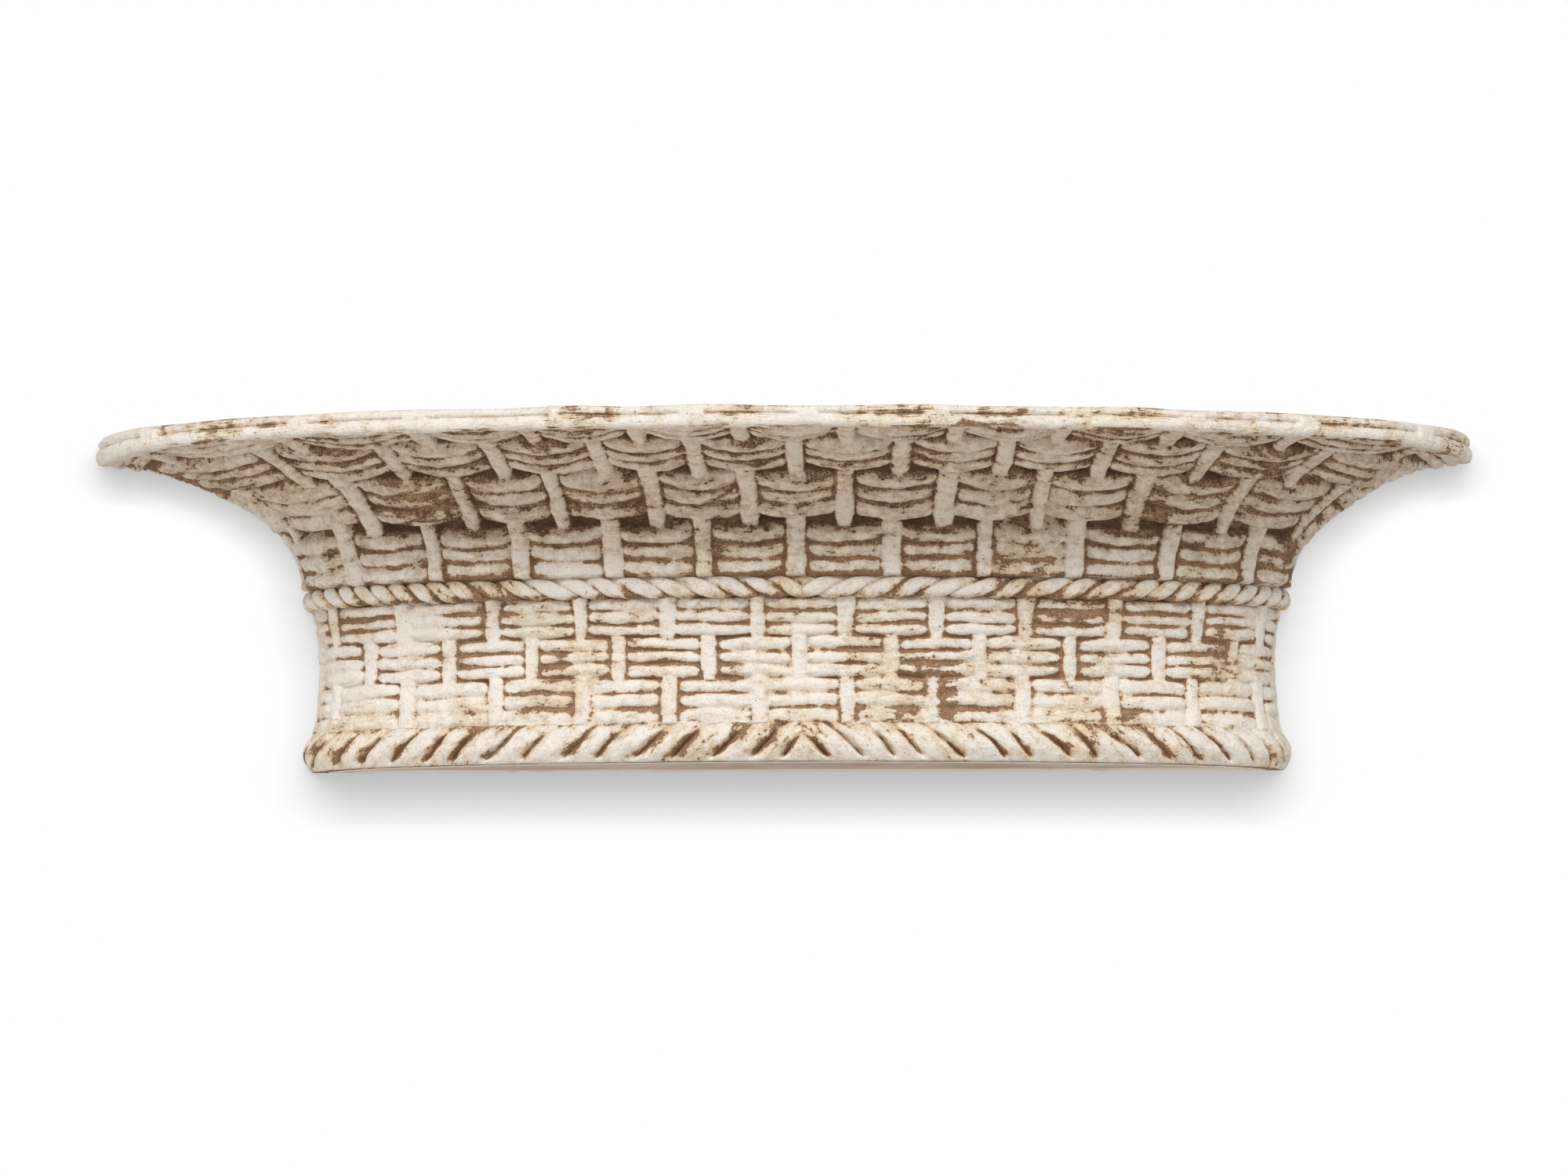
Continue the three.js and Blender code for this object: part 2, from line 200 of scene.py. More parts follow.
def tip_share(turn):
    """1 at both ends by the wall, and 0 where the outline has turned away from it."""
    return 1 - ease(np.sin(turn), 0, 0.11)


# Meshes


def outward_faces(rings):
    """Quads between neighbouring rings, and the first and last ring as a flat face each, turned so
    that the body's volume is positive."""
    stations, count = rings.shape[:2]
    i, j = np.meshgrid(np.arange(stations - 1), np.arange(count), indexing="ij")
    a, b = i * count + j, i * count + (j + 1) % count
    quads = np.stack([a, b, b + count, a + count], -1).reshape(-1, 4)
    first = np.arange(count)
    last = first + (stations - 1) * count
    a, b, c, d = (rings.reshape(-1, 3)[quads[:, k]] for k in range(4))
    volume = np.einsum("ij,ij->", a, np.cross(b, c)) + np.einsum("ij,ij->", a, np.cross(c, d))
    if volume < 0:
        return quads[:, ::-1], first, last[::-1]
    return quads, first[::-1], last


def placed(name, data):
    """An object in the scene for a mesh, a lamp or a camera."""
    thing = bpy.data.objects.new(name, data)
    bpy.context.scene.collection.objects.link(thing)
    return thing


def make_piece(name, rings, finishes, values=None, uv=None, finish_of=None):
    """A closed body from rings of points. Values are named numbers at its points, uv is a place
    along and across for each, and finish_of is the finish of each line of quads. The two end
    faces have the last one."""
    quads, first, last = outward_faces(rings)
    loops = np.concatenate([quads.ravel(), first, last])
    sizes = np.concatenate([np.full(len(quads), 4), [len(first), len(last)]])
    places = (rings.reshape(-1, 3) - np.array([0, 0, HANG_LEVEL])) * METRES
    mesh = bpy.data.meshes.new(name)
    mesh.vertices.add(len(places))
    mesh.vertices.foreach_set("co", places.astype(np.float32).ravel())
    mesh.loops.add(len(loops))
    mesh.loops.foreach_set("vertex_index", loops.astype(np.int32))
    mesh.polygons.add(len(sizes))
    mesh.polygons.foreach_set("loop_start", running_sum(sizes)[:-1].astype(np.int32))
    mesh.polygons.foreach_set("use_smooth", np.arange(len(sizes)) < len(quads))
    kinds = np.full(len(sizes), len(finishes) - 1, np.int32)
    kinds[:len(quads)] = 0 if finish_of is None else np.tile(finish_of, len(rings) - 1)
    for finish in finishes:
        mesh.materials.append(finish)
    mesh.polygons.foreach_set("material_index", kinds)
    mesh.update(calc_edges=True)
    for key, value in (values or {}).items():
        attribute = mesh.attributes.new(key, "FLOAT", "POINT")
        attribute.data.foreach_set("value", value.astype(np.float32).ravel())
    if uv is not None:
        layer = mesh.uv_layers.new(name="weave")
        layer.data.foreach_set("uv", uv.reshape(-1, 2)[loops].astype(np.float32).ravel())
    return placed(name, mesh)


def padded(field, extra, value):
    """A field over a face, with one value on the extra lines behind it."""
    return np.concatenate([field, np.full((len(field), extra), value)], 1)


def faced_piece(name, turn, face, behind, finishes, uv, fields, finish_behind=0):
    """A body with a modelled face, joined to plain lines behind it and held in front of the wall.
    fields are the values that the paint reads, each with its number for the lines behind."""
    rings = np.concatenate([face, np.stack([points(turn, *line) for line in behind], 1)], 1)
    rings[..., 1] = np.minimum(rings[..., 1], 0)
    values = {key: padded(field, len(behind), value) for key, (field, value) in fields.items()}
    finish_of = np.zeros(rings.shape[1], int)
    finish_of[face.shape[1]:] = finish_behind
    return make_piece(name, rings, finishes, values, uv, finish_of)


# Finishes: noise takes its lumps' size in metres, and step its start and end from 0 to 1


class Value:
    """A number inside a finish. Arithmetic on it adds Math nodes."""

    def __init__(self, finish, socket):
        self.finish, self.socket = finish, socket

    def math(self, operation, *values):
        return self.finish.node("ShaderNodeMath", {"operation": operation}, *values)

    def __add__(self, other):
        return self.math("ADD", self, other)

    def __radd__(self, other):
        return self.math("ADD", other, self)

    def __sub__(self, other):
        return self.math("SUBTRACT", self, other)

    def __rsub__(self, other):
        return self.math("SUBTRACT", other, self)

    def __mul__(self, other):
        return self.math("MULTIPLY", self, other)

    def __rmul__(self, other):
        return self.math("MULTIPLY", other, self)

    def greatest(self, other):
        return self.math("MAXIMUM", self, other)

    def step(self, start, end):
        """0 at start, 1 at end, smooth between them and flat beyond."""
        settings = {"interpolation_type": "SMOOTHSTEP"}
        return self.finish.node("ShaderNodeMapRange", settings, self, start, end, 0, 1)


class Finish:
    """A material, or the world, built from nodes."""

    def __init__(self, name, kind=bpy.data.materials):
        self.owner = kind.new(name)
        self.owner.use_nodes = True
        self.tree = self.owner.node_tree
        self.tree.nodes.clear()

    def node(self, kind, settings=None, *values, output=0, **named):
        """Adds a node. Its settings are set first, then its sockets, by order or by name, where
        None leaves one out."""
        node = self.tree.nodes.new(kind)
        for key, value in (settings or {}).items():
            setattr(node, key, value)
        sockets = dict(enumerate(values))
        sockets.update((key.replace("_", " "), value) for key, value in named.items())
        for key, value in sockets.items():
            if isinstance(value, Value):
                self.tree.links.new(value.socket, node.inputs[key])
            elif value is not None:
                node.inputs[key].default_value = value
        return Value(self, node.outputs[output]) if len(node.outputs) else None

    def mix(self, factor, one, other):
        """Colour one where factor is 0 and the other where it is 1."""
        one, other = (c if isinstance(c, Value) else (*c, 1) for c in (one, other))
        values = factor, *[None] * 5, one, other
        return self.node("ShaderNodeMix", {"data_type": "RGBA"}, *values, output=2)

    def place(self):
        return self.node("ShaderNodeTexCoord", output="Object")

    def noise(self, size, detail=3, roughness=0.55, along=1, place=None):
        """Noise from 0 to 1, with lumps about size metres across. along is their scale in X, which
        draws them out where it is under 1."""
        place = place or self.place()
        if along != 1:
            place = self.node("ShaderNodeMapping", None, place, Scale=(along, 1, 1))
        look = dict(Scale=1 / size, Detail=detail, Roughness=roughness)
        return self.node("ShaderNodeTexNoise", None, Vector=place, **look)

    def attribute(self, name):
        return self.node("ShaderNodeAttribute", {"attribute_name": name}, output="Fac")

    def bump(self, height, metres, strength=1):
        return self.node("ShaderNodeBump", None, Height=height, Distance=metres, Strength=strength)

    def surface(self, **sockets):
        shader = self.node("ShaderNodeBsdfPrincipled", None, **sockets)
        self.node("ShaderNodeOutputMaterial", None, shader)
        return self.owner


def srgb(red, green, blue):
    """A screen's colour, over 10 and up to 255, in the linear numbers that shaders take."""
    return tuple(((v / 255 + 0.055) / 1.055) ** 2.4 for v in (red, green, blue))


CREAM = srgb(240, 234, 225)
WARM_CREAM = srgb(239, 226, 203)
# A duller, darker copy of the cream, mixed in where the shade value is high: painted shade.
SHADED_CREAM = srgb(226, 211, 196)
OCHRE = srgb(222, 186, 135)
BROWN = srgb(165, 130, 99)
DARK_BROWN = srgb(92, 66, 48)
# A grey-brown for stains, also laid on more where the shade value is high, as painted shade.
STAIN_AND_SHADE = srgb(172, 148, 126)
FLECK = srgb(60, 50, 44)


def painted_weave():
    """Cream paint over an ochre wash over a brown ground. The piece says how hollow, worn and
    shaded a place is, and noise drawn out along the strands breaks up the edges. Its shade is
    painted shade: where that value is high, the cream turns to a darker copy, stains spread and
    the brown ground darkens."""
    f = Finish("painted_weave")
    hollow, wear, painted_shade = f.attribute("hollow"), f.attribute("wear"), f.attribute("painted_shade")
    broad = f.noise(0.022)
    lumps = f.noise(0.0032, 4, 0.6)
    streaks = f.noise(0.0024, 5, 0.66, 0.36, f.node("ShaderNodeUVMap", {"uv_map": "weave"}))
    grain = f.noise(0.0008, 3, 0.65)
    pits = f.noise(0.0007, 2, 0.5)
    ragged = (streaks - 0.5) * 2 + (lumps - 0.5) * 0.8
    ragged = ragged + (grain - 0.5) * 0.5 + (broad - 0.5) * 1.3
    thin = hollow * (wear * 0.6 + 0.76) + wear * 0.16 + wear.step(0.85, 1.3) * 0.4 + ragged
    bare = thin.step(0.46, 0.52)
    washed = (thin + (broad - 0.5) * 0.4).step(0.03, 0.48)
    cream = f.mix(broad.step(0.42, 0.66) * 0.6, CREAM, WARM_CREAM)
    # Painted shade: the cream turns to its darker copy where the shade value is high.
    cream = f.mix(painted_shade, cream, SHADED_CREAM)
    cream = f.mix((pits * 0.5 + grain * 0.6).step(0.57, 0.72) * 0.4, cream, OCHRE)
    blotches = ((lumps + streaks + grain) * 0.45).step(0.58, 0.8)
    # The brown ground darkens where the shade value is high, and most in deep gaps there: painted
    # shade.
    ground = f.mix(blotches * (painted_shade * 0.5 + 0.5), BROWN, DARK_BROWN)
    ground = f.mix(pits.step(0.6, 0.7) * 0.4, ground, WARM_CREAM)
    ground = f.mix(hollow.step(0.6, 1) * painted_shade * 0.7, ground, DARK_BROWN)
    stained = (hollow * 0.9 + wear * 0.35 + ragged * 0.7 + (lumps - 0.5)).step(-0.15, 0.7)
    colour = f.mix(washed * (hollow.step(0, 0.6) * 0.45 + 0.5), cream, OCHRE)
    # Stain, stronger where the shade value is high: part dirt, part painted shade.
    colour = f.mix(stained * (painted_shade * 0.5 + 0.32), colour, STAIN_AND_SHADE)
    colour = f.mix(bare, colour, ground)
    spots = f.noise(0.0014, 2, 0.5).step(0.735, 0.765)
    colour = f.mix(spots * 0.7, colour, FLECK)
    height = lumps * 0.65 + streaks * 0.2 + grain * 0.35 + pits * 0.1
    height = height - bare * 0.35 - spots * 0.3
    return f.surface(
        Base_Color=colour, Roughness=0.6 + bare * 0.22, Normal=f.bump(height, 0.001), IOR=1.45,
        Specular_IOR_Level=0.4,
    )


def plain_paint():
    """The same cream brushed thinly inside: brush marks, stains and a few bare spots."""
    f = Finish("plain_paint")
    broad = f.noise(0.03, 4)
    brush = f.noise(0.0016, along=0.25)
    grain = f.noise(0.0009)
    worn = (broad * 0.8 + brush * 0.35 + grain * 0.1).step(0.72, 0.8)
    colour = f.mix(broad.step(0.38, 0.66), CREAM, WARM_CREAM)
    colour = f.mix((broad * 0.7 + brush * 0.4).step(0.58, 0.8) * 0.6, colour, OCHRE)
    colour = f.mix(worn * 0.75, colour, BROWN)
    normal = f.bump(brush * 0.5 + grain * 0.3 - worn * 0.3, 0.0004, 0.7)
    return f.surface(Base_Color=colour, Roughness=0.8, Normal=normal, Specular_IOR_Level=0.3)


def raw_plaster():
    """Bare cast plaster at the back and the ends, with air holes and a few stains."""
    f = Finish("raw_plaster")
    broad = f.noise(0.05, 4)
    grain = f.noise(0.0012, 4, 0.6)
    holes = f.noise(0.0032, 1).step(0.7, 0.74)
    streaks = f.noise(0.003, 4, 0.6, 0.2)
    stains = (streaks * 0.7 + broad * 0.4).step(0.56, 0.72)
    colour = f.mix(broad.step(0.35, 0.7), srgb(214, 196, 183), srgb(192, 171, 156))
    colour = f.mix(stains * 0.7, colour, srgb(168, 138, 116))
    colour = f.mix(holes * 0.6, colour, srgb(140, 120, 102))
    normal = f.bump(grain * 0.4 - holes, 0.0005, 0.8)
    return f.surface(Base_Color=colour, Roughness=0.9, Normal=normal, Specular_IOR_Level=0.2)


def galvanised():
    """Zinc-coated sheet: a spangle of crystals in two greys, dulled by water stains."""
    f = Finish("galvanised_sheet")
    cells = f.node("ShaderNodeTexVoronoi", None, Vector=f.place(), Scale=1 / 0.009, output="Color")
    tone = f.node("ShaderNodeSeparateColor", None, cells)
    stain = f.noise(0.02, 4)
    grain = f.noise(0.0008)
    colour = f.mix(tone, srgb(158, 163, 166), srgb(184, 188, 190))
    colour = f.mix(stain.step(0.52, 0.72) * 0.6, colour, srgb(140, 139, 134))
    return f.surface(
        Base_Color=colour, Metallic=0.9, Roughness=0.42 + tone * 0.14 + grain * 0.1,
        Normal=f.bump(grain * 0.2 + tone * 0.3, 0.0002, 0.5),
    )


def bright_steel():
    """Zinc-plated steel with fine scratches and dulled patches."""
    f = Finish("plated_steel")
    scratches = f.noise(0.0006, along=0.15)
    patches = f.noise(0.006)
    colour = f.mix(patches.step(0.4, 0.7), srgb(186, 186, 184), srgb(150, 146, 138))
    return f.surface(
        Base_Color=colour, Metallic=1, Roughness=0.28 + scratches * 0.2 + patches * 0.12,
        Normal=f.bump(scratches, 0.0001, 0.5),
    )


def hardwood():
    """Sawn hardwood: grain drawn out along X, with darker pores."""
    f = Finish("sawn_hardwood")
    figure = f.noise(0.004, 4, 0.6, 0.12)
    pores = f.noise(0.0005, 2, along=0.06)
    colour = f.mix(figure.step(0.35, 0.65), srgb(178, 134, 90), srgb(140, 98, 62))
    colour = f.mix(pores.step(0.58, 0.7) * 0.6, colour, srgb(96, 64, 40))
    normal = f.bump(figure * 0.4 - pores * 0.4, 0.0004, 0.7)
    return f.surface(Base_Color=colour, Roughness=0.7, Normal=normal, Specular_IOR_Level=0.3)


PAINTED = painted_weave()
INSIDE = plain_paint()
PLASTER = raw_plaster()
ZINC = galvanised()
STEEL = bright_steel()
WOOD = hardwood()

# The weave

# Each row's foot and top, in degrees up the flare's ellipse or as levels of the field, which
# stakes show in it (0 even, 1 odd), the share of its height above its strands, and how far its
# stakes stand from their even places, in stake steps. The flare's last row ends under the rim.
FLARE_ROWS = (
    dict(foot=0, top=27.5, shows=0, slot=0.19,
         drift=(-0.15, 0.05, -0.05, -0.05, -0.05, -0.15, -0.1, -0.05, -0.1, -0.05, 0.15)),
    dict(foot=27.5, top=55.8, shows=1, slot=0.17,
         drift=(-0.5, 0, 0, -0.1, 0, -0.15, 0, 0.05, -0.05, 0.2, 0.25, 0.45)),
    dict(foot=55.8, top=77.5, shows=0, slot=0.19,
         drift=(-0.1, 0.15, 0.05, 0.15, 0.05, -0.1, 0, 0.1, 0.05, 0.05, 0.1)),
    dict(foot=77.5, shows=1, slot=0.1,
         drift=(-0.5, 0, 0.05, 0, 0, -0.1, 0, 0.05, 0, 0.15, 0.2, 0.4)),
)
FIELD_ROWS = (
    dict(foot=13.2, top=29.2, shows=1, slot=0.04,
         drift=(0, 0.25, 0.25, 0.15, 0.1, 0.05, -0.1, -0.15, -0.15, -0.1, -0.15, -0.05)),
    dict(foot=29.2, top=43, shows=0, slot=0.04,
         drift=(0.1, 0.15, 0.15, 0, 0, -0.05, -0.05, -0.05, -0.15, 0, 0.05)),
    dict(foot=43, top=56.2, shows=1, slot=0.04,
         drift=(0, 0.1, 0.3, 0.05, 0.1, -0.05, -0.05, -0.1, -0.1, 0, 0, 0)),
)

# Patches where the paint is rubbed through: place along the wall, height, half widths, strength.
WORN_PATCHES = (
    (53, 33, 28, 9, 1), (49, 21, 5, 7, 1.3), (97, 34, 16, 8, 0.9), (92, 50, 24, 4, 0.8),
    (146, 37, 12, 10, 0.8), (127, 48, 12, 5, 0.5), (-127, 36, 10, 5, 1), (-114, 37, 7, 9, 1),
    (-82, 33, 6, 6, 0.9), (-136, 20, 7, 5, 0.6), (-115, 20, 12, 5, 0.8), (-87, 20, 10, 5, 0.7),
    (-149, 50, 14, 4, 0.8), (-102, 50, 14, 4, 0.8), (-26, 34, 6, 9, 0.6), (31, 17, 12, 4, 0.4),
    (-144, 101, 26, 6, 0.4), (-130, 88, 18, 7, 0.35), (-108, 82, 12, 5, 0.3), (-67, 88, 20, 8, 0.4),
    (140, 89, 22, 9, 0.4), (157, 99, 16, 6, 0.4), (171, 76, 9, 12, 0.6), (70, 96, 14, 5, 0.3),
    (116, 82, 14, 5, 0.4), (37, 101, 14, 5, 0.4), (192, 97, 14, 9, 0.1), (-205, 101, 22, 6, 0.3),
    (-185, 90, 16, 5, 0.4), (0, 74, 8, 5, 0.4), (-30, 74, 14, 5, 0.3),
)


def worn_at(x, z):
    """How far the paint is rubbed: a bell of each patch's strength, over a broad noise."""
    total = 0.3 * fractal(x, z, 30, 71, 2)
    for px, pz, wide, high, strength in WORN_PATCHES:
        total = total + strength * np.exp(-(((x - px) / wide) ** 2) - ((z - pz) / high) ** 2)
    return np.clip(total, -0.4, 1.3)


# The shape of each weave, in millimetres: levels of the ground, of strands that dip and bow, of
# their bed and of stakes, and how they round off, sag, stop short of a stake, blend and clog.
# Towards the wall it settles to one level, with knots and a band. fade sinks single strands.
FLARE_FORM = dict(
    ground=-3.3, dip=-1.5, bow=2.7, bend=1.9, bed=1.5, round=1.5, girth=0.47, sag=0.9, gap=-0.7,
    tip=2, stand=0.85, stake=3.2, blend=0.3, fill=0.8, calm=24, settled=0.3, band=0.4, edge=2.6,
    knots=0.8, seed=101,
    fade=((0.7, 0.1, 0), (0, 0.1, 0), (0, 0, 0), (0, 0, 0.3)),
)
FIELD_FORM = dict(
    ground=-2.1, dip=-0.7, bow=1.3, bend=2.4, bed=1.4, round=1.6, girth=0.46, sag=0, gap=-1,
    tip=3, stand=0.75, stake=2.9, blend=0.35, fill=1.1, calm=13, settled=0.4, band=0.5, edge=2,
    knots=0.5, seed=201,
    fade=((0.5, 0, 0), (0, 0, 0), (0, 0, 0.4)),
)

# How uneven the strands are.
LOOSE = dict(lift=0.3, shift=0.09, tilt=0.12, girth=0.035, stop=0.7)

# Shared by both weaves. A slope is the fall for each millimetre past an edge.
SIDE_SLOPE = 4
BED_SLOPE = 2.5
BED_MARGIN = 0.3
STAKE_ROUNDING = 1.5
STAKE_TAPER = 0.13
STAKE_SINK = 5
GROUND_RISE = 1.2
BAND_ROUNDING = 1.6


def cell_random(cell, row, strand, seed):
    """One random number from -1 to 1 for each strand of each cell."""
    return lattice(seed)[cell.astype(int) % 256, (row * 8 + strand) % 256]


class Weave:
    """Heights of the weave over the plain surface: the greatest of its parts, with their meetings
    rounded. on_stake is 1 on stakes, and flank goes from 0 on a rod's middle line to 1 beside it."""

    def __init__(self, turn, along, up, form):
        """The clogged ground, which rises near the wall, where lively falls from 1 to 0."""
        self.along, self.up, self.form = along, up, form
        self.stake = np.broadcast_to(stake_of(turn)[:, None], along.shape)
        self.pitch = np.gradient(along, axis=0) / np.gradient(self.stake, axis=0)
        self.edge = (STAKES_PER_HALF - np.abs(self.stake)) * self.pitch
        self.lively = ease(self.edge, form["edge"], form["edge"] + form["calm"])
        self.wander = 0.35 * fractal(along, up * 1.5, 9, 21, 2)
        clogged = form["fill"] * np.clip(fractal(along, up, 13, 11, 2), -0.3, 1)
        self.height = form["ground"] + clogged + GROUND_RISE * (1 - self.lively)
        self.on_stake, self.flank = 0 * self.height, 0 * self.height + 1

    def settled(self, crest):
        """A crest's height, which goes over to one level towards the wall."""
        return crest * self.lively + self.form["settled"] * (1 - self.lively)

    def lay_row(self, index, row, foot, top, below):
        """A row's strands and stakes. Places are moved so that drifted stakes come to whole
        numbers, and each belongs to the nearest hidden stake and the nearest one shown."""
        shows, drift = row["shows"], np.array(row["drift"])
        stakes = (STAKE_ENDS + shows + 1) % 2 - STAKE_ENDS + 2 * np.arange(len(drift))
        place = self.stake - np.interp(self.stake, stakes + drift, drift)
        hidden = 2 * np.round((place - shows - 1) / 2) + shows + 1
        shown = 2 * np.round((place - shows) / 2) + shows
        self.lay_strands(index, place, hidden, foot, top - (top - foot) * row["slot"])
        self.lay_stakes(index, place, shown, foot, top, below)

    def lay_strands(self, index, place, hidden, foot, head):
        """Three strands over each hidden stake, on a bed. They bow out as 1 - q^n, where q is 0 on
        that stake and 1 at those that show beside it. A strand is a capsule: half an ellipse
        across, with round ends by the shown stakes."""
        form, up, pitch = self.form, self.up, self.pitch
        away = np.abs(place - hidden)
        bow = 1 - np.clip(away, 0, 1) ** form["bend"]
        crown = self.settled(form["dip"] + (form["bow"] - form["dip"]) * bow)
        reach = pitch - form["stake"] - form["gap"]
        past = np.maximum(np.maximum(foot - up, up - head) + BED_MARGIN, away * pitch - reach)
        bed = crown - form["bed"] - BED_SLOPE * np.clip(past, 0, 9)
        self.height = soft_max(self.height, bed, form["blend"])
        band = (head - foot) / STRANDS
        for strand in range(STRANDS):
            lift, shift, girth, tilt, stop = (
                cell_random(hidden, index, strand, form["seed"] + k) for k in range(5)
            )
            middle = strand + 0.5 + LOOSE["shift"] * shift + LOOSE["tilt"] * tilt * (place - hidden)
            half = band * (form["girth"] + LOOSE["girth"] * girth)
            across = up + self.wander + form["sag"] * (bow - 0.5) - (foot + band * middle)
            end = (away * pitch - reach - LOOSE["stop"] * stop) / form["tip"] + 1
            far = np.hypot(across / half, np.clip(end, 0, 9))
            crest = crown + LOOSE["lift"] * lift - form["fade"][index][strand]
            body = crest - form["round"] * (1 - dome(far))
            body = body - SIDE_SLOPE * np.clip(far - 1, 0, 3) * half
            self.flank = np.where(body > self.height, np.clip(far, 0, 1), self.flank)
            self.height = soft_max(self.height, body, form["blend"])

    def lay_stakes(self, index, place, shown, foot, top, below):
        """The stakes that show in a row: half an ellipse across, narrower towards the gap below,
        and sinking where the strands of the next rows cross them."""
        form, up = self.form, self.up
        wobble = 0.4 * fractal(self.along + 50 * index, up, 6, 31, 2)
        taper = 1 - STAKE_TAPER * ease(-up, -foot - 3, -foot + below)
        girth = 1 + 0.1 * cell_random(shown, index, 5, form["seed"])
        across = ((place - shown) * self.pitch + wobble) / (form["stake"] * taper * girth)
        sunk = ease(up, top - 0.3, top + 2.6)
        sunk = sunk + ease(-up, below - foot + 0.2, below - foot + 2.4)
        crest = self.settled(form["stand"]) + 0.25 * cell_random(shown, index, 6, form["seed"])
        body = crest - STAKE_SINK * sunk - STAKE_ROUNDING * (1 - dome(across))
        body = body - SIDE_SLOPE * np.clip(np.abs(across) - 1, 0, 9) * form["stake"]
        live = np.abs(shown) <= STAKE_ENDS
        above = live & (body > self.height)
        self.on_stake = np.where(above, 1, self.on_stake)
        self.flank = np.where(above, np.clip(np.abs(across), 0, 1), self.flank)
        self.height = np.where(live, soft_max(self.height, body, form["blend"]), self.height)

    def lay_edges(self):
        """A band by the wall, half an ellipse across, knots in the calm part beside it, and a fine
        roughness all over."""
        form, along, up = self.form, self.along, self.up
        band = form["band"] - BAND_ROUNDING * (1 - dome((self.edge - form["edge"]) / form["edge"]))
        band = band - SIDE_SLOPE * np.clip(self.edge - 2 * form["edge"], 0, 9)
        self.height = soft_max(self.height, band, form["blend"])
        knots = ease(noise(along / 1.9, up / 2.3, 53), 0.15, 0.55)
        self.height = self.height - form["knots"] * knots * (1 - self.lively)
        self.height = self.height + 0.26 * fractal(along, up, 3.4, 41)
        self.height = self.height + 0.14 * noise(along / 1.5, up / 1.5, 47)

    def piece(self, name, turn, plain, behind, finish_behind, **fields):
        """The body: its face is the plain surface, moved out along its normals by the height, and
        its uv the place along and up the weave, in metres."""
        face = plain + normals(plain) * self.height[..., None]
        extra = len(behind)
        uv = np.stack([padded(self.along, extra, 0), padded(self.up, extra, 0)], -1) * METRES
        finishes = [PAINTED, INSIDE, PLASTER]
        return faced_piece(name, turn, face, behind, finishes, uv, fields, finish_behind)


def woven(turn, along, up, rows, feet, tops, form):
    """The whole weave: its ground, its rows from below, and its edges by the wall."""
    cloth = Weave(turn, along, up, form)
    below = 0
    for index, (row, foot, top) in enumerate(zip(rows, feet, tops)):
        cloth.lay_row(index, row, foot, top, below)
        below = (top - foot) * row["slot"]
    cloth.lay_edges()
    return cloth


def hollow_of(cloth, crest, wear):
    """1 in hollows and 0 on crests: 0.6 of the squared depth under the crest, 0.75 of the depth
    under the blurred surroundings, and where paint is worn, 0.38 flank^1.6."""
    height, ground = cloth.height, cloth.form["ground"]
    depth = np.clip((crest - height) / (crest - ground), 0, 1)
    dent = np.clip((blurred(height, 3) - height) / 0.9, -0.5, 1)
    worn = 0.38 * np.clip(wear, 0, 1) * cloth.flank**1.6
    return np.clip(0.6 * depth**2 + 0.75 * dent, 0, 1) + worn


def flare_outside(turn, angle):
    """The flare's outside: a quarter ellipse from foot to top. Towards its edge it rises, more so
    at the front, and its right end by the wall sags a little halfway up."""
    lean = OVERHANG * (1 - np.cos(angle))
    out = -FLARE_EDGE_INSET * (1 - np.cos(angle))
    front = ease(np.sin(turn), 0.05, 0.45)
    edge = ease(angle, math.radians(50), math.radians(90))
    rise = edge * (TIP_EDGE_RISE + (FRONT_EDGE_RISE - TIP_EDGE_RISE) * front)
    rise = rise + TIP_ROUNDING * edge * tip_share(turn)
    right_end = ease(-np.cos(turn), 0.8, 0.97)
    sag = RIGHT_END_SAG * right_end * np.sin(np.clip(angle / math.radians(74), 0, 1) * np.pi) ** 2
    return lean, out, FLARE_FOOT + (FLARE_TOP - FLARE_FOOT) * np.sin(angle) + rise - sag


def flare_inside(angle):
    """The flare's inside: a quarter ellipse from the well's edge up to the rim."""
    lean = OVERHANG * (1 - np.cos(angle))
    out = -WELL_INSET * np.cos(angle) - (RIM_WIDTH + 0.3) * (1 - np.cos(angle))
    return lean, out, FLARE_FOOT + (INNER_TOP - FLARE_FOOT) * np.sin(angle)


